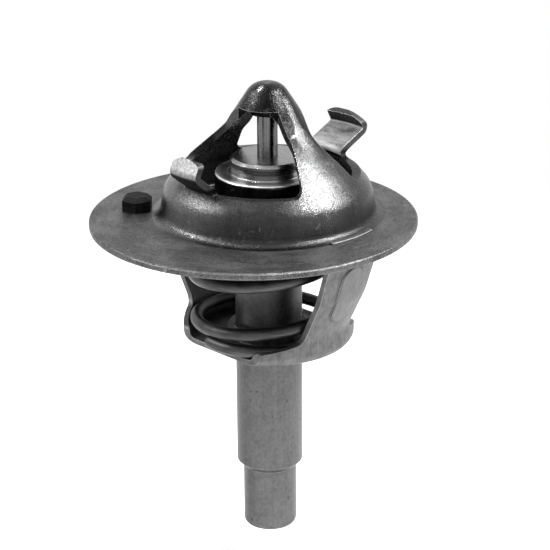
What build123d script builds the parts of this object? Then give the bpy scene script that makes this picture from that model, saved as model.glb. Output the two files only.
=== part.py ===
from build123d import *
import math
import os

# An engine thermostat, in millimetres, with +Z up.
# The origin is the centre of the flange's round rim, on the flange's underside.
# The pieces are drawn about the valve axis, with zero height on the flange's top face,
# and are moved to the origin as they are written.

# Flange and dome, one pressing
flange_diameter = 48.0
flange_sheet = 1.0
valve_offset = 3.0
land_width = 3.0
land_step = 0.05
rim_rounding = 0.2
tip_height = 19.6
tip_half_flat = 2.1
tip_rounding = 2.8
waist_radius = 6.4
waist_height = 13.0
waist_rounding = 6.0
shoulder_radius = 12.3
shoulder_height = 7.6
shoulder_rounding = 4.0
brow_radius = 15.3
brow_height = 4.0
brow_rounding = 4.0
wall_radius = 15.9
base_fillet = 1.2

# Windows, legs and tabs of the dome
sill_height = 6.0
cap_lip_height = 16.2
cap_root_reach = 3.2
cap_root_half_width = 3.0
cap_root_turn = 20.0
leg_half_width = 2.1
leg_waist_reach = 7.3
leg_foot_half_width = 4.8
leg_foot_reach = 11.7
leg_bend_rounding = 3.0
window_corner = 1.3
tab_width = 6.3
tab_flare = 1.2
tab_root_extra = 2.2
tab_knee_reach = 17.9
tab_knee_height = 9.0
tab_tip_reach = 16.5
tab_tip_height = 11.6
tab_tip_bulge = 0.8
tab_tip_corner = 0.6
tab_valley = 0.4
tab_knee_rounding = 1.3
far_tab_reach_change = 0.9
far_tab_height_change = 0.1
far_tab_width_change = 0.3
far_tab_shift = 0.15
far_tab_lean = 0.5
near_tab_reach_change = -0.9
near_tab_height_change = -0.1
near_tab_width_change = -0.9
near_tab_shift = -0.4
near_tab_root_drop = 0.4

# Piston and its socket under the tip of the dome
piston_diameter = 3.0
piston_chamfer = 0.3
piston_low_end = -9.0
socket_diameter = 4.7
socket_low_end = 14.9
socket_depth = 2.4
guide_clearance = 0.04

# Lower frame, one pressed strip
frame_sheet = 0.8
cup_depth = 19.9
cup_radius = 12.8
cup_corner = 1.5
strip_half_width = 10.0
cup_wall_height = 3.5
cup_wall_end_height = 2.1
cup_wall_rounding = 0.8
arm_foot_rise = 3.9
arm_middle_radius = 15.9
arm_middle_height = -9.6
arm_top_radius = 17.95
arm_top_height = -3.2
arm_foot_width = 9.2
arm_head_width = 10.0
arm_root_fillet = 1.5
arm_foot_rounding = 3.0
arm_middle_rounding = 8.0
arm_top_rounding = 2.0
tongue_setback = 0.4
tongue_half_angle = 13.5
tongue_proud = 0.25
slot_clearance = 0.08
shoulder_gap = 0.03
left_arm_spread = 0.9
left_arm_foot_drop = 1.2
oval_length = 9.4
oval_width = 4.2
oval_rise = 0.3
oval_middle = -8.9
collar_wall = 1.0
collar_height = 1.3
lug_width = 3.2
lug_height = 2.1
collar_clearance = 0.09

# Wax element: case, guide and what they hold
case_diameter = 10.0
case_wall = 0.6
tail_diameter = 8.1
case_step = -40.0
overall_depth = 51.0
tail_rounding = 0.9
head_diameter = 15.6
head_top = 6.25
head_bottom = 3.1
head_floor = 0.8
head_lip = 0.6
head_edge = 0.4
guide_neck_diameter = 11.0
guide_top = 8.55
guide_chamfer = 0.35
guide_ring = 0.3
wiper_width = 0.9
wiper_height = 0.9
washer_height = 0.5
sleeve_wall = 1.3
sleeve_end = 2.0
sleeve_clearance = 0.04
sleeve_end_gap = 0.3

# Valve plate and seal
plate_sheet = 0.8
plate_slope_radius = 8.4
spring_seat_inner = 9.6
spring_seat_outer = 12.7
spring_seat_top = -1.25
plate_rim_radius = 14.6
plate_rim_rise = 0.5
plate_rounding = 0.5
seal_overlap = 0.25
seal_seat_gap = 0.1
seal_inner_radius = 13.5
seal_lip_width = 0.7

# Main spring
wire_diameter = 1.9
spring_low_radius = 10.75
spring_high_radius = 11.35
spring_start = 0.60
spring_turns = 3.45
spring_rise_start = 0.90
spring_rise_end = 3.74
spring_lean = 0.35
spring_end_gap = 0.06
spring_lean_turn = 0.13
spring_lean_fade = 0.6
spring_points_per_turn = 10

# Loose vent pin in the flange
vent_x = -14.4
vent_y = -12.9
vent_hole_diameter = 2.6
vent_stem_diameter = 1.8
vent_cap_width = 4.15
vent_cap_height = 2.2
vent_cap_chamfer = 0.6
vent_cap_turn = 12.0
vent_weight_diameter = 4.0
vent_weight_height = 2.0
vent_play = 1.0
vent_clearance = 0.1

# Sizes that follow from the ones above
flange_radius = flange_diameter / 2
piston_radius = piston_diameter / 2
case_radius = case_diameter / 2
case_bore = case_radius - case_wall
tail_radius = tail_diameter / 2
head_radius = head_diameter / 2
wire_radius = wire_diameter / 2
opening_radius = wall_radius - flange_sheet
cup_floor = frame_sheet - cup_depth
arm_foot_height = arm_foot_rise - cup_depth
collar_bore = case_radius + collar_clearance
tongue_radius = wall_radius + base_fillet + tongue_setback
tongue_half_width = tongue_radius * math.sin(math.radians(tongue_half_angle))
flange_centre = Pos(0, -valve_offset, 0)
everything_up = Pos(0, valve_offset, flange_sheet)


def sheet_of_revolution(points, radii, thickness, side):
    """A sheet bent along a rounded outline and turned about the valve axis."""
    outline = FilletPolyline(*points, radius=radii)
    section = make_face(Plane.XZ * offset(outline, amount=thickness, side=side))
    return revolve(section, Axis.Z)


def turned(points):
    """A solid turned about the valve axis from a closed outline of radius and height."""
    return revolve(make_face(Plane.XZ * Polyline(*points, close=True)), Axis.Z)


def disc(radius, low, high):
    """A round bar about the valve axis between two heights."""
    return Pos(0, 0, low) * Cylinder(radius, high - low, align=(Align.CENTER, Align.CENTER, Align.MIN))


def block(half_x, half_y, low, high):
    """A square bar about the valve axis between two heights."""
    align = (Align.CENTER, Align.CENTER, Align.MIN)
    return Pos(0, 0, low) * Box(2 * half_x, 2 * half_y, high - low, align=align)


def both_sides(shape):
    """A shape and its twin, half a turn round the valve axis."""
    return [shape, Rot(0, 0, 180) * shape]


# Bridge plate: the flange, the dome and its two windows, the two tabs and the slots
def shoulder_line(height):
    """Radius of the dome's outer face on its steep upper band, at one height."""
    slope = (brow_radius - shoulder_radius) / (shoulder_height - brow_height)
    return shoulder_radius + slope * (shoulder_height - height)


def dome_outline():
    points = [
        (0, tip_height),
        (tip_half_flat, tip_height),
        (waist_radius, waist_height),
        (shoulder_radius, shoulder_height),
        (brow_radius, brow_height),
        (wall_radius, 0),
        (tongue_radius + flange_sheet, 0),
    ]
    radii = [tip_rounding, waist_rounding, shoulder_rounding, brow_rounding, base_fillet]
    return FilletPolyline(*points, radius=radii)


def make_dome():
    return revolve(make_face(Plane.XZ * offset(dome_outline(), amount=flange_sheet, side=Side.RIGHT)), Axis.Z)


def make_socket():
    """The boss under the tip, as high as the inside of the dome."""
    outline = dome_outline()
    closing = Polyline(outline @ 1, (0, 0), outline @ 0)
    filled = revolve(make_face(Plane.XZ * (outline + closing)), Axis.Z)
    boss = disc(socket_diameter / 2, socket_low_end, tip_height)
    return boss & filled


def make_window():
    """What is punched out on the +Y side, above the sill, between the legs and under the cap."""
    reach = wall_radius + 2
    spread = (leg_foot_half_width - leg_half_width) / (leg_foot_reach - leg_waist_reach)
    far_half_width = leg_half_width + spread * (reach - leg_waist_reach)
    left_root = Vector(-cap_root_reach, cap_root_half_width).rotate(Axis.Z, cap_root_turn)
    right_root = Vector(cap_root_reach, cap_root_half_width).rotate(Axis.Z, cap_root_turn)
    corners = [
        (-reach, far_half_width),
        (-leg_waist_reach, leg_half_width),
        (left_root.X, left_root.Y),
        (right_root.X, right_root.Y),
        (leg_waist_reach, leg_half_width),
        (reach, far_half_width),
        (reach, reach + far_half_width),
        (-reach, reach + far_half_width),
    ]
    face = make_face(Polyline(*corners, close=True))
    bends = face.vertices().filter_by(lambda v: abs(abs(v.X) - leg_waist_reach) < 0.01)
    face = fillet(bends, leg_bend_rounding)
    hole = Pos(0, 0, sill_height) * extrude(face, amount=cap_lip_height - sill_height)
    lowest = hole.edges().group_by(Axis.Z)[0]
    return fillet(lowest.filter_by(lambda edge: edge.center().Y < reach - 1), window_corner)


def make_tab(reach_change, height_change, width_change, shift, lean=0.0, root_drop=0.0):
    """A tab on the +Y side: out from the sill, then up and in at its knee, bent a little by hand."""
    sill = sill_height - root_drop
    root_height = sill + 0.5 * flange_sheet
    foot_height = (sill_height + brow_height) / 2
    outline = [
        (shoulder_line(foot_height), foot_height),
        (shoulder_line(root_height), root_height),
        (tab_knee_reach + reach_change, tab_knee_height + height_change),
        (tab_tip_reach + reach_change, tab_tip_height + height_change),
    ]
    strip = sheet_of_revolution(outline, [tab_valley, tab_knee_rounding], flange_sheet, Side.LEFT)
    half = (tab_width + width_change) / 2
    root = half + tab_root_extra
    tip = tab_tip_height + height_change
    high_side = tip - tab_tip_bulge + lean
    low_side = tip - tab_tip_bulge - lean
    shape = Pos(0, foot_height) * Rectangle(2 * root, sill - foot_height, align=(Align.CENTER, Align.MIN))
    sides = Polyline((half, high_side), (half, foot_height), (-half, foot_height), (-half, low_side))
    blade = make_face(sides + ThreePointArc((-half, low_side), (0, tip), (half, high_side)))
    blade = fillet(blade.vertices().filter_by(lambda v: v.Y > foot_height + 0.01), tab_tip_corner)
    shape += blade
    inner = shape.vertices().filter_by(lambda v: abs(abs(v.X) - half) < 0.01 and abs(v.Y - sill) < 0.01)
    shape = fillet(inner, tab_flare)
    outward = Plane(origin=(0, 0, 0), x_dir=(-1, 0, 0), z_dir=(0, 1, 0))
    return strip & extrude(outward * Pos(shift, 0) * shape, amount=wall_radius + flange_radius)


def make_slot(spread=0.0):
    """The curved slot on the +X side that takes the end of an arm of the lower frame."""
    radius = tongue_radius + spread
    ring = disc(radius + slot_clearance, -2 * flange_sheet, 2 * flange_sheet)
    ring -= disc(radius - frame_sheet - slot_clearance, -2 * flange_sheet, 2 * flange_sheet)
    align = (Align.CENTER, Align.CENTER, Align.MIN)
    room = Box(flange_radius - tongue_radius, 2 * (tongue_half_width + slot_clearance), 4 * flange_sheet, align=align)
    return ring & (Pos(radius, 0, -2 * flange_sheet) * room)


def make_bridge_plate():
    flange = flange_centre * disc(flange_radius, -flange_sheet, 0)
    flange = fillet(flange.edges().filter_by(GeomType.CIRCLE), rim_rounding)
    flange -= disc(tongue_radius - frame_sheet - slot_clearance, -flange_sheet, 0)
    plate = make_dome() + flange
    plate -= both_sides(make_window())
    plate += make_tab(
        far_tab_reach_change, far_tab_height_change, far_tab_width_change, far_tab_shift, far_tab_lean
    )
    plate += Rot(0, 0, 180) * make_tab(
        near_tab_reach_change,
        near_tab_height_change,
        near_tab_width_change,
        near_tab_shift,
        root_drop=near_tab_root_drop,
    )
    plate -= make_slot()
    plate -= Rot(0, 0, 180) * make_slot(left_arm_spread)
    plate -= flange_centre * disc(flange_radius - land_width, -flange_sheet, land_step - flange_sheet)
    plate -= Pos(vent_x, vent_y) * disc(vent_hole_diameter / 2, -flange_sheet, 0)
    plate += make_socket()
    plate -= disc(piston_radius, socket_low_end, socket_low_end + socket_depth)
    return plate


# Piston: a ground pin, held in the socket, that stays still as the case moves down
def make_piston():
    pin = disc(piston_radius, piston_low_end, socket_low_end + socket_depth)
    return chamfer(pin.edges().filter_by(GeomType.CIRCLE), piston_chamfer)


# Lower frame: a strip with a holed floor, short curved walls and two arms
def make_half_frame(spread=0.0, foot_drop=0.0):
    """The half of the strip on the +X side, its arm spread outwards from a lower bend."""
    outline = [
        (collar_bore, -cup_depth),
        (cup_radius, -cup_depth),
        (cup_radius, arm_foot_height - foot_drop),
        (arm_middle_radius + spread, arm_middle_height),
        (arm_top_radius + spread, arm_top_height),
        (tongue_radius + spread, -1.5 * flange_sheet),
        (tongue_radius + spread, tongue_proud),
    ]
    radii = [cup_corner, arm_foot_rounding, arm_middle_rounding, arm_top_rounding, frame_sheet]
    sheet = sheet_of_revolution(outline, radii, frame_sheet, Side.LEFT)
    raised = Pos(0, 0, -oval_rise * 2) * sheet

    # The blank's outline, seen along X
    wall_top = cup_wall_height - cup_depth
    wall_end = cup_wall_end_height - cup_depth
    shoulder = -flange_sheet - shoulder_gap
    tongue_half = tongue_half_width
    corners = [
        (-strip_half_width, -cup_depth),
        (strip_half_width, -cup_depth),
        (strip_half_width, wall_end),
        (arm_foot_width / 2, wall_top),
        (arm_head_width / 2, shoulder),
        (tongue_half, shoulder),
        (tongue_half, tongue_proud),
        (-tongue_half, tongue_proud),
        (-tongue_half, shoulder),
        (-arm_head_width / 2, shoulder),
        (-arm_foot_width / 2, wall_top),
        (-strip_half_width, wall_end),
    ]
    blank = make_face(Polyline(*corners, close=True))
    blank = fillet(blank.vertices().filter_by(lambda v: abs(v.Y - wall_top) < 0.01), arm_root_fillet)
    blank = fillet(blank.vertices().filter_by(lambda v: abs(v.Y - wall_end) < 0.01), cup_wall_rounding)
    side_view = Plane.YZ
    reach = arm_top_radius + spread + flange_sheet
    strip = extrude(side_view * blank, amount=reach)

    # A long oval pressed outwards in the arm
    oval = side_view * (Pos(0, oval_middle) * SlotOverall(oval_length, oval_width, rotation=90))
    oval = extrude(oval, amount=reach)
    return ((sheet & strip) - oval) + (raised & oval)


def make_lower_frame():
    frame = make_half_frame() + Rot(0, 0, 180) * make_half_frame(left_arm_spread, left_arm_foot_drop)

    # The collar round the hole, with a lug towards each open side
    collar = disc(collar_bore + collar_wall, -cup_depth, cup_floor + collar_height)
    tall = disc(collar_bore + collar_wall, -cup_depth, cup_floor + lug_height)
    collar += tall & block(lug_width / 2, strip_half_width, -cup_depth, 0)
    collar -= disc(collar_bore, -cup_depth - frame_sheet, 0)
    return frame + collar


# Element case: one drawn cup, its head rolled in over the guide
def make_case():
    bore_step = case_step - case_wall / 2
    outer = [
        (0, -overall_depth),
        (tail_radius, -overall_depth),
        (tail_radius, case_step - (case_radius - tail_radius)),
        (case_radius, case_step),
        (case_radius, head_bottom),
        (head_radius, head_bottom),
        (head_radius, head_top),
        (guide_neck_diameter / 2 + guide_ring, head_top),
        (guide_neck_diameter / 2 + guide_ring, head_top - head_lip),
        (head_radius - case_wall, head_top - head_lip),
        (head_radius - case_wall, head_bottom + head_floor),
        (case_bore, head_bottom + head_floor),
        (case_bore, bore_step),
        (tail_radius - case_wall, bore_step - (case_radius - tail_radius)),
        (tail_radius - case_wall, case_wall - overall_depth),
        (0, case_wall - overall_depth),
    ]
    case = turned(outer)
    ends = case.edges().filter_by(GeomType.CIRCLE)
    case = fillet(ends.group_by(Axis.Z)[0], tail_rounding)
    rims = case.edges().filter_by(GeomType.CIRCLE).filter_by(lambda edge: abs(edge.radius - head_radius) < 0.01)
    return fillet(rims, head_edge)


# Guide: the turned bush that the piston runs in
guide_flange_top = head_top - head_lip
washer_low = head_bottom + head_floor
guide_flange_low = washer_low + washer_height
guide_bore = piston_radius + guide_clearance


def make_guide():
    neck = guide_neck_diameter / 2
    guide = disc(head_radius - case_wall, guide_flange_low, guide_flange_top)
    guide += disc(neck, guide_flange_low, guide_top)
    guide += disc(neck + guide_ring, guide_flange_top, head_top)
    top = guide.edges().filter_by(GeomType.CIRCLE).group_by(Axis.Z)[-1]
    guide = chamfer(top, guide_chamfer)
    guide -= disc(guide_bore, guide_flange_low, guide_top)
    return guide - disc(guide_bore + wiper_width, guide_flange_low, guide_flange_low + wiper_height)


# Guide seal: a small rubber ring in the guide's lower end, close round the piston
def make_guide_seal():
    ring = disc(guide_bore + wiper_width, guide_flange_low, guide_flange_low + wiper_height)
    return ring - disc(guide_bore, guide_flange_low, guide_flange_low + wiper_height)


# Backup washer: between the guide and the rubber, so that the rubber can't creep out
def make_backup_washer():
    washer = disc(head_radius - case_wall, washer_low, guide_flange_low)
    return washer - disc(guide_bore, washer_low, guide_flange_low)


# Rubber sleeve: a thick boot round the piston, squeezed by the wax
sleeve_top = washer_low
sleeve_bore = piston_radius + sleeve_clearance
sleeve_radius = sleeve_bore + sleeve_wall
sleeve_floor = piston_low_end - sleeve_end_gap


def make_rubber_sleeve():
    boot = disc(sleeve_radius, sleeve_floor - sleeve_end, sleeve_top)
    foot = boot.edges().filter_by(GeomType.CIRCLE).group_by(Axis.Z)[0]
    boot = fillet(foot, sleeve_wall / 2)
    return boot - disc(sleeve_bore, sleeve_floor, sleeve_top)


# Wax charge: fills the case round and under the sleeve
def make_wax_charge():
    bore_step = case_step - case_wall / 2
    outline = [
        (0, case_wall - overall_depth),
        (tail_radius - case_wall, case_wall - overall_depth),
        (tail_radius - case_wall, bore_step - (case_radius - tail_radius)),
        (case_bore, bore_step),
        (case_bore, sleeve_top),
        (0, sleeve_top),
    ]
    boot = disc(sleeve_radius, sleeve_floor - sleeve_end, sleeve_top)
    foot = boot.edges().filter_by(GeomType.CIRCLE).group_by(Axis.Z)[0]
    return turned(outline) - fillet(foot, sleeve_wall / 2)


# Valve plate: a pressed dish under the case's head, with a seat for the spring
rim_top = spring_seat_top + plate_rim_rise


def make_valve_plate():
    outline = [
        (case_radius, head_bottom),
        (plate_slope_radius, head_bottom),
        (spring_seat_inner, spring_seat_top),
        (spring_seat_outer, spring_seat_top),
        (spring_seat_outer + plate_rim_rise, rim_top),
        (plate_rim_radius, rim_top),
    ]
    radii = [plate_rounding, plate_rounding, plate_rounding / 2, plate_rounding / 2]
    return sheet_of_revolution(outline, radii, plate_sheet, Side.RIGHT)


# Valve seal: a rubber ring moulded on the plate's rim, against the mouth of the dome
def make_valve_seal():
    """The seal's outer corner lies just under the rounded mouth of the opening."""
    seal_radius = opening_radius + seal_overlap
    wall_turn = math.atan2(brow_height, wall_radius - brow_radius)
    mouth_radius = wall_radius + base_fillet * math.tan(wall_turn / 2)
    reach = base_fillet + flange_sheet + seal_seat_gap
    lip_top = base_fillet - math.sqrt(reach**2 - (mouth_radius - seal_radius) ** 2)
    outline = [
        (seal_inner_radius, rim_top),
        (plate_rim_radius, rim_top),
        (plate_rim_radius, rim_top - plate_sheet / 2),
        (seal_radius, rim_top - plate_sheet / 2),
        (seal_radius, lip_top),
        (seal_radius - seal_lip_width, lip_top),
        (seal_inner_radius, rim_top + plate_sheet / 2),
    ]
    return turned(outline)


# Main spring: round wire, closed at both ends, wider at the top and leaning a little
spring_low = cup_floor + wire_radius + spring_end_gap
spring_high = spring_seat_top - plate_sheet - wire_radius - spring_end_gap


def ease(share):
    """A smooth step from 0 to 1."""
    share = min(1, max(0, share))
    return share * share * (3 - 2 * share)


def wire_point(turn):
    """A point on the wire's middle line, by the turn counted from the spring's own zero mark."""
    rise = ease((turn - spring_rise_start) / (spring_rise_end - spring_rise_start))
    fade = ease((turn - spring_rise_start) / spring_lean_fade) * ease((spring_rise_end - turn) / spring_lean_fade)
    lean = spring_lean * fade * math.cos(2 * math.pi * (turn - spring_lean_turn))
    height = spring_low + (spring_high - spring_low) * rise + lean
    radius = spring_low_radius + (spring_high_radius - spring_low_radius) * rise
    angle = 2 * math.pi * turn
    return (radius * math.cos(angle), radius * math.sin(angle), height)


def make_main_spring():
    count = round(spring_turns * spring_points_per_turn)
    path = Spline(*[wire_point(spring_start + spring_turns * i / count) for i in range(count + 1)])
    start = Plane(origin=path @ 0, z_dir=path % 0, x_dir=(0, 0, 1))
    wire = sweep(start * Circle(wire_radius), path=path, is_frenet=True)
    return Rot(0, 0, 45) * wire


# Vent pin: a black moulded cap over a turned pin with a wide foot, loose in the flange
vent_place = Pos(vent_x, vent_y, 0)
pin_foot_top = land_step - flange_sheet - vent_play - vent_clearance


def make_vent_cap():
    cap = extrude(RegularPolygon(vent_cap_width / 2, 6, major_radius=False), amount=vent_cap_height)
    cap = chamfer(cap.edges().group_by(Axis.Z)[-1], vent_cap_chamfer)
    cap -= disc(vent_stem_diameter / 2, 0, vent_cap_height / 2)
    return vent_place * (Rot(0, 0, vent_cap_turn) * cap)


def make_vent_pin():
    pin = disc(vent_stem_diameter / 2, pin_foot_top, vent_cap_height / 2)
    foot = disc(vent_weight_diameter / 2, pin_foot_top - vent_weight_height, pin_foot_top)
    foot = chamfer(foot.edges().filter_by(GeomType.CIRCLE).group_by(Axis.Z)[0], vent_weight_height / 3)
    return vent_place * (pin + foot)


pieces = {
    "bridge_plate": make_bridge_plate,
    "piston": make_piston,
    "lower_frame": make_lower_frame,
    "element_case": make_case,
    "piston_guide": make_guide,
    "guide_seal": make_guide_seal,
    "backup_washer": make_backup_washer,
    "rubber_sleeve": make_rubber_sleeve,
    "wax_charge": make_wax_charge,
    "valve_plate": make_valve_plate,
    "valve_seal": make_valve_seal,
    "main_spring": make_main_spring,
    "vent_cap": make_vent_cap,
    "vent_pin": make_vent_pin,
}

os.makedirs("parts", exist_ok=True)
for name, make in pieces.items():
    export_step(everything_up * make(), f"parts/{name}.step")
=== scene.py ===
import math

import bmesh
import bpy
from mathutils import Matrix, Vector


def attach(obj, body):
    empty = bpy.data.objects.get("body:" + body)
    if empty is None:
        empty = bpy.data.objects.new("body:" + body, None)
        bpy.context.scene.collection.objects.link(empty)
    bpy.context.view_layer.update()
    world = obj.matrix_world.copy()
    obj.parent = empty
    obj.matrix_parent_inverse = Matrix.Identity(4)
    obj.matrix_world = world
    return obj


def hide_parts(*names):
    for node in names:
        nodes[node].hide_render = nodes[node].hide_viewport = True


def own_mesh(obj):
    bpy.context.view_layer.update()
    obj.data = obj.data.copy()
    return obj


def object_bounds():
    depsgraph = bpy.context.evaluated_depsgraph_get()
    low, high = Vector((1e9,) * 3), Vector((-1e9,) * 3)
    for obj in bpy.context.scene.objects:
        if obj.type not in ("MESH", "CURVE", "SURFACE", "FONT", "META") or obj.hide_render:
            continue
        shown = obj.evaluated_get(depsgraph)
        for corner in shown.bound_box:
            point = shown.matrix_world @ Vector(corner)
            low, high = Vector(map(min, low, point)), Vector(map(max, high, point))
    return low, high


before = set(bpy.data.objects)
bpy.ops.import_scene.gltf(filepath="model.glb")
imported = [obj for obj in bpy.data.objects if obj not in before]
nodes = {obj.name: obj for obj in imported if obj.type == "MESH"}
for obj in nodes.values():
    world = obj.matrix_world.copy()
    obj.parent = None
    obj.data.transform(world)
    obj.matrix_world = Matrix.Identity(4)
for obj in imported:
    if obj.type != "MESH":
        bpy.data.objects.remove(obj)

cad_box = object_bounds()

# The flange and its domed bridge: one pressing of steel sheet, drawn up round the valve, punched with
# two windows and slit for two tabs. The rolled flange keeps fine marks round the axis and the drawn dome
# streaks up its walls. Cut edges are brightened, partly as wear and partly as a painted highlight, and
# painted highlights brighten the feet by the legs and a band down each leg.
valve_axis = (0.0, 0.003, 0.0)
flange_top = 0.001


class Signal:
    """A socket of a finish's nodes. Sums written on it add Math nodes."""

    def __init__(self, tree, socket=None):
        self.tree = tree
        self.socket = socket

    def node(self, kind, settings=None, inputs=None, output=0):
        """A new node: its settings, then the values or links of its sockets, then the socket it gives."""
        made = self.tree.nodes.new(kind)
        for key, value in (settings or {}).items():
            setattr(made, key, value)
        for key, value in (inputs or {}).items():
            if isinstance(value, Signal):
                self.tree.links.new(value.socket, made.inputs[key])
            else:
                made.inputs[key].default_value = value
        return Signal(self.tree, made.outputs[output])

    def math(self, operation, first, second):
        return self.node("ShaderNodeMath", {"operation": operation}, {0: first, 1: second})

    def __add__(self, other):
        return self.math("ADD", self, other)

    def __radd__(self, other):
        return self.math("ADD", other, self)

    def __sub__(self, other):
        return self.math("SUBTRACT", self, other)

    def __rsub__(self, other):
        return self.math("SUBTRACT", other, self)

    def __mul__(self, other):
        return self.math("MULTIPLY", self, other)

    def __rmul__(self, other):
        return self.math("MULTIPLY", other, self)

    def __truediv__(self, other):
        return self.math("DIVIDE", self, other)

    def __pow__(self, other):
        return self.math("POWER", self, other)

    def step(self, low, high):
        """0 below low and 1 above high, smooth between."""
        return self.node(
            "ShaderNodeMapRange",
            {"interpolation_type": "SMOOTHSTEP"},
            {"Value": self, "From Min": low, "From Max": high},
        )

    def span(self, start, full, fade, end):
        """1 from full to fade, and 0 below start and above end."""
        return self.step(start, full) * (1.0 - self.step(fade, end))

    def pack(self, x, y, z):
        return self.node("ShaderNodeCombineXYZ", None, {0: x, 1: y, 2: z})

    def part(self, axis):
        """The X, Y or Z part of a vector."""
        return self.node("ShaderNodeSeparateXYZ", None, {0: self}, axis)

    def dot(self, other):
        """How far two vectors agree, from -1 to 1 where both are a unit long."""
        return self.node("ShaderNodeVectorMath", {"operation": "DOT_PRODUCT"}, {0: self, 1: other}, "Value")

    def grain(self, place, detail, roughness, scale=1.0, distortion=0.0):
        """Noise from 0 to 1 at a place: its detail, how rough that is, and how fine the whole is."""
        sockets = {"Vector": place, "Scale": scale, "Detail": detail, "Roughness": roughness}
        sockets["Distortion"] = distortion
        return self.node("ShaderNodeTexNoise", {"noise_dimensions": "3D"}, sockets)

    def specks(self, place, scale):
        """The distance to the nearest of many scattered points."""
        return self.node("ShaderNodeTexVoronoi", None, {"Vector": place, "Scale": scale})

    def shade(self, low, high):
        """A colour between two others, as this signal goes from 0 to 1."""
        ends = [c if isinstance(c, Signal) else (c[0], c[1], c[2], 1.0) for c in (low, high)]
        return self.node("ShaderNodeMix", {"data_type": "RGBA"}, {0: self, 6: ends[0], 7: ends[1]}, 2)


class Spot:
    """Where on the object a finish is worked out, measured from the upright valve axis in metres."""

    def __init__(self, root):
        coords = root.node("ShaderNodeTexCoord", None, None, "Object")
        self.place = root.node("ShaderNodeVectorMath", {"operation": "SUBTRACT"}, {0: coords, 1: valve_axis})
        self.x, self.y, self.z = (self.place.part(axis) for axis in ("X", "Y", "Z"))
        self.radius = (self.x * self.x + self.y * self.y) ** 0.5
        self.bearing_x = self.x / self.radius
        self.bearing_y = self.y / self.radius
        self.root = root

    def wrapped(self, turns, rise):
        """A place for marks that go round the axis: few turns draw them out, rise sets them apart."""
        return self.root.pack(self.bearing_x * turns, self.bearing_y * turns, rise)

    def outward(self):
        """How much a face looks away from the axis, from -1 inwards to 1 outwards."""
        return own_normal(self.root).dot(self.root.pack(self.bearing_x, self.bearing_y, 0.0))


def own_normal(root):
    return root.node("ShaderNodeNewGeometry", None, None, "Normal")


def grey(value):
    return (value, value, value)


def new_finish(name, metallic=1.0):
    """A finish with its signal root, its shader and the spot where it is worked out."""
    made = bpy.data.materials.new(name)
    made.use_nodes = True
    root = Signal(made.node_tree)
    shader = made.node_tree.nodes["Principled BSDF"]
    shader.inputs["Metallic"].default_value = metallic
    return made, root, shader, Spot(root)


def edge_wear_and_sheen(root, width):
    """Sharp edges rounded by a width: the rounded normal, and how far it turns from the face's own. Finishes
    brighten edges by the second, partly as wear and partly as a painted highlight.
    """
    rounded = root.node("ShaderNodeBevel", {"samples": 4}, {"Radius": width})
    return rounded, (1.0 - rounded.dot(own_normal(root))).step(0.01, 0.12)


def feed(root, shader, colour, roughness, relief=None, depth=0.0, strength=0.0, rounded=None):
    """Links a finish's colour, roughness, relief and rounded edges to its shader."""
    root.tree.links.new(colour.socket, shader.inputs["Base Color"])
    root.tree.links.new(roughness.socket, shader.inputs["Roughness"])
    if relief is not None:
        sockets = {"Strength": strength, "Distance": depth, "Height": relief}
        if rounded is not None:
            sockets["Normal"] = rounded
        bump = root.node("ShaderNodeBump", None, sockets)
        root.tree.links.new(bump.socket, shader.inputs["Normal"])


def dress(finish, *names):
    """Gives CAD nodes their finish."""
    for name in names:
        data = nodes[name].data
        data.materials.clear()
        data.materials.append(finish)


flange_finish, root, shader, spot = new_finish("pressed flange")
place, x, y, z, radius = spot.place, spot.x, spot.y, spot.z, spot.radius
bearing_x, bearing_y = spot.bearing_x, spot.bearing_y
sideways = (y * y) ** 0.5
outward = spot.outward()
face = own_normal(root)
upward = face.part("Z")
across = face.part("X")
flange_edge = 0.00015
rounded, edge = edge_wear_and_sheen(root, flange_edge)

# The dome, its inner side and the two tabs. The tabs stand clear of the leaning wall beside them.
dome_foot_radius = 0.0172
foot_blend = 0.0003
wall_radius = 0.0123
wall_height = 0.0086
wall_lean = 0.833
inner_wall_margin = 0.003
tab_start = (0.0090, 0.0095)
tab_heights = (0.0068, 0.0071)
inside_heights = (0.0004, 0.0012)
on_dome = (dome_foot_radius - radius).step(-foot_blend, foot_blend)
inner_face = (0.0 - outward).step(0.05, 0.25)
off_wall = radius - (wall_radius + (wall_height - z) * wall_lean)
clear_of_wall = (off_wall + inner_face * upward.step(0.0, 0.2) * inner_wall_margin).step(0.0002, 0.0005)
on_tab = sideways.step(*tab_start) * z.step(*tab_heights) * clear_of_wall
inside = inner_face * on_dome * (1.0 - on_tab) * z.step(*inside_heights)

# The sheet's own marks, its stains and fine grain, and the scuffs, scratches and nicks of use.
round_marks = root.grain(spot.wrapped(1.6, radius * 5200.0), 3.0, 0.65)
long_marks = root.grain(spot.wrapped(26.0, z * 160.0), 4.0, 0.7)
marks = round_marks * (1.0 - on_dome) + long_marks * on_dome
clouds = root.grain(place, 4.0, 0.62, scale=190.0)
stains = root.grain(spot.wrapped(4.0, radius * 420.0), 5.0, 0.7, distortion=0.3)
orange_peel = root.grain(place, 2.0, 0.7, scale=6200.0)
tone = marks * 0.2 + clouds * 0.5 + orange_peel * 0.3
spread = tone.step(0.3, 0.7)
fine = root.grain(place, 2.0, 0.7, scale=2600.0).step(0.3, 0.7)
sparkle = orange_peel.step(0.38, 0.62)
scuffs = root.grain(root.pack(x * 900.0, y * 420.0, z * 420.0), 3.0, 0.7).step(0.62, 0.74)
scratch_place = root.pack(x * 420.0 + y * 300.0, y * 2600.0 - x * 2100.0, z * 900.0)
scratch_field = root.grain(place, 2.0, 0.5, scale=330.0).step(0.5, 0.66)
scratches = root.grain(scratch_place, 2.0, 0.6, distortion=0.4).step(0.64, 0.72) * scratch_field
nick_field = root.grain(place, 2.0, 0.5, scale=300.0).step(0.54, 0.62)
nicks = (1.0 - root.specks(place, 1150.0).step(0.05, 0.13)) * nick_field
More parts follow.
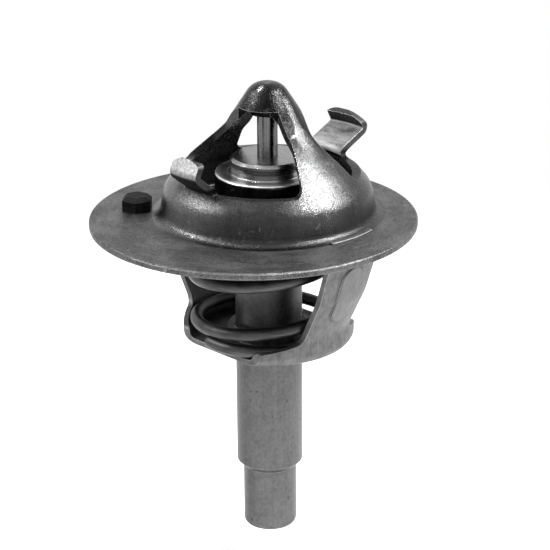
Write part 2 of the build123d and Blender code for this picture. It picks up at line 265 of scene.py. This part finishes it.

# The greys of the rolled flange and of the drawn dome. The dome is painted paler up its wall, with painted
# shade darker towards its foot; a painted highlight brightens the feet by its legs, and a painted
# reflection brightens the side turned to -X and -Y.
rolled_greys = (grey(0.05), grey(0.155))
drawn_greys = (grey(0.012), grey(0.08))
foot_highlight_greys = (grey(0.04), grey(0.145))
side_reflection_greys = (grey(0.06), grey(0.23))
wall_heights = (0.0015, 0.009)
foot_heights = (0.0020, 0.0045)
side_fade = (0.007, 0.010)
rolled_skin = spread * 0.3 + stains.step(0.35, 0.65) * 0.25 + fine * 0.2 + sparkle * 0.25
rolled_skin = rolled_skin.step(0.25, 0.75).shade(*rolled_greys)
drawn_skin = spread * 0.45 + sparkle * 0.25 + z.step(*wall_heights) * 0.3
drawn_skin = drawn_skin.shade(*drawn_greys)
painted_foot_highlight = (bearing_x * bearing_x).step(0.62, 0.93) * z.step(*foot_heights)
painted_foot_highlight = painted_foot_highlight * (0.12 - bearing_y).step(0.0, 0.3)
foot_highlight_skin = (spread * 0.65 + sparkle * 0.35).shade(*foot_highlight_greys)
drawn_skin = (painted_foot_highlight * 0.7).shade(drawn_skin, foot_highlight_skin)
painted_side_reflection = (0.0 - bearing_x - bearing_y).step(0.5, 1.35) * (1.0 - z.step(*side_fade))
side_reflection_skin = (spread * 0.4 + sparkle * 0.6).shade(*side_reflection_greys)
drawn_skin = (painted_side_reflection * 0.75).shade(drawn_skin, side_reflection_skin)

# The upper dome is painted darker as shade, with patches, up to the cap that joins the legs; the painted
# shade is lighter on the cap's side turned to -X and -Y.
cap_greys = (grey(0.006), grey(0.013))
upper_dome_heights = (0.0088, 0.0132)
cap_heights = (0.0165, 0.0185)
cap_side = (-0.001, 0.002)
upper_dome = z.step(*upper_dome_heights)
cap_patches = (root.grain(place, 4.0, 0.7, scale=700.0) * 0.5 + orange_peel * 0.5).step(0.38, 0.6)
cap_skin = (z.step(*cap_heights) * (0.0 - x - y).step(*cap_side)).shade(*cap_greys)
drawn_skin = (upper_dome * (0.93 - cap_patches * 0.35)).shade(drawn_skin, cap_skin)

# A painted highlight runs down each leg beside a flank painted dark as shade, and widens at the leg's
# foot. Its reach is the square of a distance, as are the reaches below.
flank_shade_grey = grey(0.002)
leg_highlight_grey = grey(0.15)
leg_highlight_y = 0.0005
leg_highlight_waver = 0.0004
leg_highlight_heights = (0.0105, 0.0135, 0.0183, 0.0193)
flank_heights = (0.0115, 0.0135, 0.0165, 0.0195)
flank_start = (0.0002, 0.0007)
widening_top = 0.0155
widening_depth = 0.0025
off_leg_highlight = y - leg_highlight_y + (clouds - 0.5) * leg_highlight_waver
leg_highlight_reach = (widening_top - z).step(0.0, widening_depth) * 2.6e-6 + 5.5e-7
painted_leg_highlight = (1.0 - (off_leg_highlight * off_leg_highlight).step(3.0e-8, leg_highlight_reach)) * z.span(*leg_highlight_heights)
painted_flank_shade = (0.0 - off_leg_highlight).step(*flank_start) * z.span(*flank_heights)
drawn_skin = (painted_flank_shade * (0.92 - cap_patches * 0.25)).shade(drawn_skin, flank_shade_grey)
drawn_skin = (painted_leg_highlight * (0.3 + sparkle * 0.6)).shade(drawn_skin, leg_highlight_grey)

# A painted highlight brightens a spot by the tip.
tip_highlight_grey = grey(0.55)
tip_spot_x = 0.00062
tip_spot_y = -0.00195
tip_spot_reach = (0.3e-7, 3.2e-7)
tip_heights = (0.0185, 0.0190)
off_tip_x = x - tip_spot_x
off_tip_y = y - tip_spot_y
off_tip = off_tip_x * off_tip_x * 1.6 + off_tip_y * off_tip_y * 0.6
painted_tip_highlight = (1.0 - off_tip.step(*tip_spot_reach)) * z.step(*tip_heights)
drawn_skin = (painted_tip_highlight * (0.4 + sparkle * 0.6)).shade(drawn_skin, tip_highlight_grey)

# Flange and dome together, with scuffs and scratches, painted shade on the level sills of the slots,
# darkest at the far one, and a painted shadow on the wall below the near tab.
scuff_grey = grey(0.26)
scratch_grey = grey(0.42)
sill_shade_greys = (grey(0.02), grey(0.002))
below_tab_shadow_grey = grey(0.012)
sill_heights = (0.0067, 0.0069, 0.0071, 0.0073)
far_sill_start = (0.007, 0.009)
below_tab_heights = (0.0054, 0.0068)
below_tab_start = (0.0112, 0.0118)
below_tab_x = -0.0008
below_tab_reach = (1.2e-5, 3.2e-5)
skin = on_dome.shade(rolled_skin, drawn_skin)
skin = (scuffs * 0.5).shade(skin, scuff_grey)
skin = ((scratches * 0.75 + nicks * 0.8) * (1.0 - on_dome * 0.7)).shade(skin, scratch_grey)
sill_face = upward.step(0.7, 0.9) * z.span(*sill_heights)
skin = sill_face.shade(skin, y.step(*far_sill_start).shade(*sill_shade_greys))
off_middle = x - below_tab_x
painted_shadow_below_tab = z.step(*below_tab_heights) * (0.0 - y).step(*below_tab_start)
painted_shadow_below_tab = painted_shadow_below_tab * (1.0 - (off_middle * off_middle).step(*below_tab_reach))
skin = (painted_shadow_below_tab * 0.75).shade(skin, below_tab_shadow_grey)

# The tabs: a smudged inner side painted as shaded and a pale outer one painted as lit, painted shade on
# their ends and sides, and painted shade in the hollow of the curl.
strip_shaded_greys = (grey(0.07), grey(0.34))
plate_lit_greys = (grey(0.2), grey(0.37))
tab_end_and_side_shade_grey = grey(0.05)
curl_shade_grey = grey(0.025)
inside_shade_grey = grey(0.015)
tab_end_heights = (0.0107, 0.0110)
smudges = root.grain(root.pack(x * 260.0, y * 900.0, z * 900.0), 3.0, 0.6)
strip_shaded_skin = (tone * 0.2 + smudges * 0.5 + orange_peel * 0.3).step(0.36, 0.6).shade(*strip_shaded_greys)
plate_lit_skin = (tone * 0.3 + smudges * 0.2 + fine * 0.5).step(0.2, 0.75).shade(*plate_lit_greys)
tab_skin = outward.step(0.2, 0.5).shade(strip_shaded_skin, plate_lit_skin)
end_face = z.step(*tab_end_heights) * (0.3 - outward).step(0.0, 0.3)
side_face = (across * across).step(0.5, 0.8)
curl_inside = (0.0 - upward).step(0.02, 0.3)
tab_skin = (end_face + side_face * 0.9).shade(tab_skin, tab_end_and_side_shade_grey)
tab_skin = curl_inside.shade(tab_skin, curl_shade_grey)
skin = on_tab.shade(skin, tab_skin)
# Painted shade darkens the dome's inner side.
skin = inside.shade(skin, inside_shade_grey)

# Painted shade darkens the faces at a tab's root. Cut edges are brightened, partly as wear and partly as
# a painted highlight, but not inside the dome, below the near tab or at a tab's root, and less on the
# slots' sills.
root_shade_grey = grey(0.006)
edge_grey = grey(0.5)
sill_line_heights = (0.0064, 0.0067, 0.0073, 0.0076)
tab_root_heights = (0.0050, 0.0056, 0.0078, 0.0084)
tab_root_start = (0.0098, 0.0106)
root_cut_reach = (1.5e-5, 2.1e-5)
sill_line = z.span(*sill_line_heights) * (1.0 - on_tab)
tab_root = z.span(*tab_root_heights) * sideways.step(*tab_root_start)
root_cut = tab_root * across.step(0.3, 0.55) * (1.0 - (x * x).step(*root_cut_reach))
skin = root_cut.shade(skin, root_shade_grey)
bright_edge = edge * (1.0 - inside) * (1.0 - painted_shadow_below_tab) * (1.0 - sill_line * 0.75) * (1.0 - tab_root)
skin = (bright_edge * 0.85).shade(skin, edge_grey)
flange_roughness = 0.46 - on_dome * 0.21 - upper_dome * 0.05 + on_tab * 0.3 + (marks - 0.5) * 0.12
flange_roughness = flange_roughness + (stains - 0.5) * 0.2 + (sparkle - 0.5) * on_dome * 0.045
flange_relief = marks * 0.2 + orange_peel * 0.8
feed(root, shader, skin, flange_roughness, flange_relief, depth=0.0001, strength=0.62, rounded=rounded)
dress(flange_finish, "bridge_plate")

# The piston: a ground steel pin whose top is held in the socket under the dome's tip. Grinding leaves
# very fine marks round it, and drawing faint ones along it.
piston_greys = (grey(0.115), grey(0.24))
piston_finish, root, shader, spot = new_finish("ground pin")
ground = root.grain(spot.wrapped(1.2, spot.z * 9000.0), 2.0, 0.5)
drawn = root.grain(spot.wrapped(5.0, spot.z * 30.0), 3.0, 0.6)
piston_skin = (ground * 0.4 + drawn * 0.6).step(0.3, 0.7).shade(*piston_greys)
feed(root, shader, piston_skin, 0.2 + (ground - 0.5) * 0.12, ground, depth=0.00002, strength=0.2)
dress(piston_finish, "piston")

# The guide in the head of the capsule, and the washer under it: turned metal, with fine rings left by
# the tool and edges brightened, partly as wear and partly as a painted highlight.
turned_greys = (grey(0.17), grey(0.32))
turned_edge_grey = grey(0.75)
edge_width = 0.0002
turned_finish, root, shader, spot = new_finish("turned metal")
rings = root.grain(spot.wrapped(0.8, spot.radius * 9000.0 + spot.z * 9000.0), 3.0, 0.6)
stains = root.grain(spot.place, 3.0, 0.6, scale=330.0)
rounded, edge = edge_wear_and_sheen(root, edge_width)
turned_skin = (rings * 0.6 + stains * 0.4).step(0.3, 0.7).shade(*turned_greys)
turned_skin = (edge * 0.9).shade(turned_skin, turned_edge_grey)
turned_roughness = 0.26 + (rings - 0.5) * 0.2
feed(root, shader, turned_skin, turned_roughness, rings, depth=0.00003, strength=0.35, rounded=rounded)
dress(turned_finish, "piston_guide", "backup_washer")

# The capsule that holds the wax: a deep-drawn cup with a plated, matt skin that shows small dark specks
# and faint upright streaks. Its head is rolled over the guide; its side is painted dark as shade, its top
# faces paler as lit, and its lip carries a painted highlight. Edges are brightened, partly as wear and
# partly as a painted highlight, on the head more.
capsule_greys = (grey(0.075), grey(0.145))
head_side_shade_greys = (grey(0.012), grey(0.06))
head_top_lit_greys = (grey(0.26), grey(0.42))
lip_highlight_greys = (grey(0.45), grey(0.8))
capsule_edge_grey = grey(0.6)
head_heights = (0.0036, 0.0040)
lip_radii = (0.0068, 0.0071)
lip_heights = (0.0062, 0.0066)
capsule_finish, root, shader, spot = new_finish("matt plated capsule")
streaks = root.grain(spot.wrapped(9.0, spot.z * 60.0), 4.0, 0.65)
mottle = root.grain(spot.place, 4.0, 0.62, scale=420.0)
pits = 1.0 - root.specks(spot.place, 800.0).step(0.08, 0.22)
dark_specks = pits * root.grain(spot.place, 2.0, 0.5, scale=220.0).step(0.47, 0.6)
fine = root.grain(spot.place, 2.0, 0.7, scale=1900.0)
rounded, edge = edge_wear_and_sheen(root, edge_width)
upward = own_normal(root).part("Z")
on_head = spot.z.step(*head_heights)
on_lip = spot.radius.step(*lip_radii) * spot.z.step(*lip_heights) * upward.step(0.45, 0.75)
blotches = mottle.step(0.3, 0.7)
head_skin = upward.step(0.4, 0.9).shade(blotches.shade(*head_side_shade_greys), blotches.shade(*head_top_lit_greys))
head_skin = on_lip.shade(head_skin, blotches.shade(*lip_highlight_greys))
capsule_skin = (streaks * 0.2 + mottle * 0.4 + fine * 0.4 - dark_specks * 0.55).step(0.25, 0.75)
capsule_skin = on_head.shade(capsule_skin.shade(*capsule_greys), head_skin)
capsule_skin = (edge * 0.4 + edge * on_head * 0.5).shade(capsule_skin, capsule_edge_grey)
capsule_roughness = 0.52 - on_head * 0.2 + (mottle - 0.5) * 0.2 + dark_specks * 0.2
capsule_relief = fine * 0.6 + mottle * 0.3 - dark_specks * 0.6
feed(
    root,
    shader,
    capsule_skin,
    capsule_roughness,
    capsule_relief,
    depth=0.00008,
    strength=0.4,
    rounded=rounded,
)
dress(capsule_finish, "element_case")

# The rubber pieces: the lip round the valve plate, the sleeve that the wax squeezes and the small seal
# under the guide. Moulded black rubber, matt, with a dusty bloom.
rubber_greys = (grey(0.012), grey(0.035))
rubber_finish, root, shader, spot = new_finish("black rubber", 0.0)
bloom = root.grain(spot.place, 4.0, 0.6, scale=700.0)
rubber_skin = bloom.step(0.35, 0.75).shade(*rubber_greys)
feed(root, shader, rubber_skin, 0.6 + (bloom - 0.5) * 0.3, bloom, depth=0.00004, strength=0.4)
dress(rubber_finish, "valve_seal", "rubber_sleeve", "guide_seal")

# The wax charge: a pale waxy mass sealed inside the capsule, never seen from outside.
wax_tints = ((0.5, 0.44, 0.34), (0.62, 0.56, 0.46))
wax_finish, root, shader, spot = new_finish("wax charge", 0.0)
lumps = root.grain(spot.place, 3.0, 0.5, scale=300.0)
feed(root, shader, lumps.shade(*wax_tints), 0.45 + lumps * 0.2)
dress(wax_finish, "wax_charge")

# The valve plate and the lower frame: thinner pressed steel with a paler, matt skin from the rolling
# mill. The oval pressed into each arm of the frame is a little paler, inside a rim painted dark as shade.
# The inner side is painted darker as shade, and edges are brightened, partly as wear and partly as a
# painted highlight.
mill_greys = (grey(0.083), grey(0.17))
frame_inside_shade_grey = grey(0.06)
oval_grey = grey(0.2)
oval_rim_shade_grey = grey(0.035)
frame_edge_grey = grey(0.36)
oval_height = -0.0079
oval_half_straight = 0.0026
oval_radius = 0.0021
oval_rim_reach = (0.4e-8, 7.0e-8)
oval_blend = 0.0003
arm_start = (1.2e-4, 1.5e-4)
frame_finish, root, shader, spot = new_finish("pale pressed steel")
rolled = root.grain(root.pack(spot.x * 500.0, spot.y * 2600.0, spot.z * 500.0), 3.0, 0.6)
mill = root.grain(spot.place, 4.0, 0.6, scale=650.0)
rounded, edge = edge_wear_and_sheen(root, edge_width)
frame_skin = (rolled * 0.4 + mill * 0.6).step(0.3, 0.72).shade(*mill_greys)
inner_face = (0.0 - spot.outward()).step(0.1, 0.4)
frame_skin = inner_face.shade(frame_skin, frame_inside_shade_grey)
off_middle = ((spot.z - oval_height) * (spot.z - oval_height)) ** 0.5
past_straight = root.math("MAXIMUM", off_middle - oval_half_straight, 0.0)
off_rim = (spot.y * spot.y + past_straight * past_straight) ** 0.5 - oval_radius
on_arm = (spot.x * spot.x).step(*arm_start)
oval_rim = (1.0 - (off_rim * off_rim).step(*oval_rim_reach)) * on_arm * (1.0 - inner_face)
in_oval = (0.0 - off_rim).step(0.0, oval_blend) * on_arm
frame_skin = (in_oval * 0.25).shade(frame_skin, oval_grey)
frame_skin = (oval_rim * (0.45 + mill * 0.4)).shade(frame_skin, oval_rim_shade_grey)
frame_skin = (edge * 0.7).shade(frame_skin, frame_edge_grey)
frame_roughness = 0.55 + (mill - 0.5) * 0.2
frame_relief = rolled * 0.3 + mill * 0.7
feed(root, shader, frame_skin, frame_roughness, frame_relief, depth=0.0001, strength=0.6, rounded=rounded)
dress(frame_finish, "lower_frame", "valve_plate")

# The spring: round wire coiled from the floor of the lower frame up to the valve plate, dark from
# tempering, with marks from the drawing die.
spring_greys = (grey(0.035), grey(0.09))
valve_travel = 0.007
merge_distance = 1e-6
spring_finish, root, shader, spot = new_finish("tempered spring wire")
die_marks = root.grain(spot.wrapped(3.0, spot.radius * 2500.0 + spot.z * 2500.0), 3.0, 0.6)
temper = root.grain(spot.place, 3.0, 0.5, scale=240.0)
spring_skin = (die_marks * 0.5 + temper * 0.5).step(0.3, 0.7).shade(*spring_greys)
feed(root, shader, spring_skin, 0.44 + (temper - 0.5) * 0.2, die_marks, depth=0.00003, strength=0.3)
spring_mesh = nodes["main_spring"].data.copy()
wire = bmesh.new()
wire.from_mesh(spring_mesh)
bmesh.ops.remove_doubles(wire, verts=wire.verts, dist=merge_distance)
for wire_face in wire.faces:
    wire_face.smooth = True
wire.to_mesh(spring_mesh)
wire.free()
spring_mesh.materials.clear()
spring_mesh.materials.append(spring_finish)
spring = bpy.data.objects.new("coil_spring", spring_mesh)
bpy.context.scene.collection.objects.link(spring)
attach(spring, "housing")
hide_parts("main_spring")
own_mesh(spring)

# The vent: a loose pin that hangs in a hole of the flange, with a faceted black cap on top and a turned
# foot below. The cap is moulded and hardly shines.
cap_greys = (grey(0.002), grey(0.008))
cap_shine = 0.07
cap_finish, root, shader, spot = new_finish("black vent cap", 0.0)
moulded = root.grain(spot.place, 3.0, 0.5, scale=1500.0)
cap_skin = moulded.step(0.3, 0.7).shade(*cap_greys)
feed(root, shader, cap_skin, 0.55 + (moulded - 0.5) * 0.2, moulded, depth=0.00003, strength=0.3)
shader.inputs["Specular IOR Level"].default_value = cap_shine
dress(cap_finish, "vent_cap")
dress(turned_finish, "vent_pin")

# The floor and the background: a pale sheet, as far under the capsule's end as the valve opens, under a
# white sky. Away from the object it is as white as the sky, so that no horizon shows, and the sky is
# less bright for the light that it sheds than for the eye and for mirrors.
floor_height = cad_box[0][2] - valve_travel
floor_half = 1.5
floor_fade = (0.06, 0.2)
floor_white = (0.93, 0.93, 0.93, 1.0)
floor_roughness = 0.9
pure_white = (1.0, 1.0, 1.0, 1.0)
sky_light = 0.75


def direct_rays(root):
    """1 for rays of the camera, of mirrors and through glass, and 0 for those that only shed light."""
    seen, mirrored, through = (
        root.node("ShaderNodeLightPath", None, None, ray)
        for ray in ("Is Camera Ray", "Is Glossy Ray", "Is Transmission Ray")
    )
    return root.math("MAXIMUM", root.math("MAXIMUM", seen, mirrored), through)


sheet = bmesh.new()
bmesh.ops.create_grid(sheet, x_segments=1, y_segments=1, size=floor_half)
bmesh.ops.translate(sheet, verts=sheet.verts, vec=(0, 0, floor_height))
floor_mesh = bpy.data.meshes.new("floor")
sheet.to_mesh(floor_mesh)
sheet.free()
floor = bpy.data.objects.new("floor", floor_mesh)
bpy.context.scene.collection.objects.link(floor)
floor_finish, root, shader, spot = new_finish("pale floor", 0.0)
shader.inputs["Roughness"].default_value = floor_roughness
shader.inputs["Specular IOR Level"].default_value = 0.0
shader.inputs["Base Color"].default_value = floor_white
horizon = root.node("ShaderNodeEmission", None, {"Color": pure_white, "Strength": 1.0})
far_away = spot.radius.step(*floor_fade) * direct_rays(root)
sheet_shader = Signal(root.tree, shader.outputs["BSDF"])
floor_look = root.node("ShaderNodeMixShader", None, {0: far_away, 1: sheet_shader, 2: horizon})
root.tree.links.new(floor_look.socket, root.tree.nodes["Material Output"].inputs["Surface"])
floor_mesh.materials.append(floor_finish)

world = bpy.data.worlds.new("white sky")
bpy.context.scene.world = world
world.use_nodes = True
sky = Signal(world.node_tree)
backdrop = world.node_tree.nodes["Background"]
level = direct_rays(sky) * (1.0 - sky_light) + sky_light
world.node_tree.links.new(level.socket, backdrop.inputs["Strength"])
backdrop.inputs["Color"].default_value = pure_white

# The camera: looks down at the object from between a bridge leg and a window, far off with a long lens.
camera_bearing = math.radians(45.0)
camera_rise = math.radians(21.02)
camera_roll = math.radians(0.38)
camera_distance = 0.300
camera_right = 0.00103
camera_drop = 0.00948
camera_sensor = 36.0
camera_lens = 133.47
nearest_seen = 0.01
forward = Vector(
    (
        -math.sin(camera_bearing) * math.cos(camera_rise),
        math.cos(camera_bearing) * math.cos(camera_rise),
        -math.sin(camera_rise),
    )
)
level_right = Vector((math.cos(camera_bearing), math.sin(camera_bearing), 0.0))
level_up = level_right.cross(forward)
right = level_right * math.cos(camera_roll) - level_up * math.sin(camera_roll)
up = level_up * math.cos(camera_roll) + level_right * math.sin(camera_roll)
aim = Vector((valve_axis[0], valve_axis[1], flange_top))
camera_data = bpy.data.cameras.new("camera")
camera_data.sensor_width = camera_sensor
camera_data.lens = camera_lens
camera_data.clip_start = nearest_seen
camera = bpy.data.objects.new("camera", camera_data)
turn = Matrix((right, up, -forward)).transposed().to_4x4()
camera.matrix_world = (
    Matrix.Translation(aim - forward * camera_distance + right * camera_right - up * camera_drop) @ turn
)
bpy.context.scene.collection.objects.link(camera)
bpy.context.scene.camera = camera

# The lamps: three soft squares at one distance, the strongest to the right of the camera.
lamp_distance = 0.45


def soft_lamp(name, across, away, height, size, power):
    """A square lamp that looks at the flange. It is placed as the camera sees it: right, away and up."""
    data = bpy.data.lights.new(name, "AREA")
    data.shape = "SQUARE"
    data.size = size
    data.energy = power
    lamp = bpy.data.objects.new(name, data)
    ahead = Vector((forward.x, forward.y, 0.0)).normalized()
    direction = (level_right * across + ahead * away + Vector((0.0, 0.0, height))).normalized()
    spin = direction.to_track_quat("Z", "Y").to_matrix().to_4x4()
    lamp.matrix_world = Matrix.Translation(Vector(valve_axis) + direction * lamp_distance) @ spin
    bpy.context.scene.collection.objects.link(lamp)


soft_lamp("right lamp", 0.70, -0.07, 0.71, size=0.12, power=4.4)
soft_lamp("left lamp", -0.78, -0.02, 0.61, size=0.09, power=1.3)
soft_lamp("top lamp", -0.33, -0.02, 0.94, size=0.05, power=0.45)

bpy.context.scene.view_settings.view_transform = "Standard"
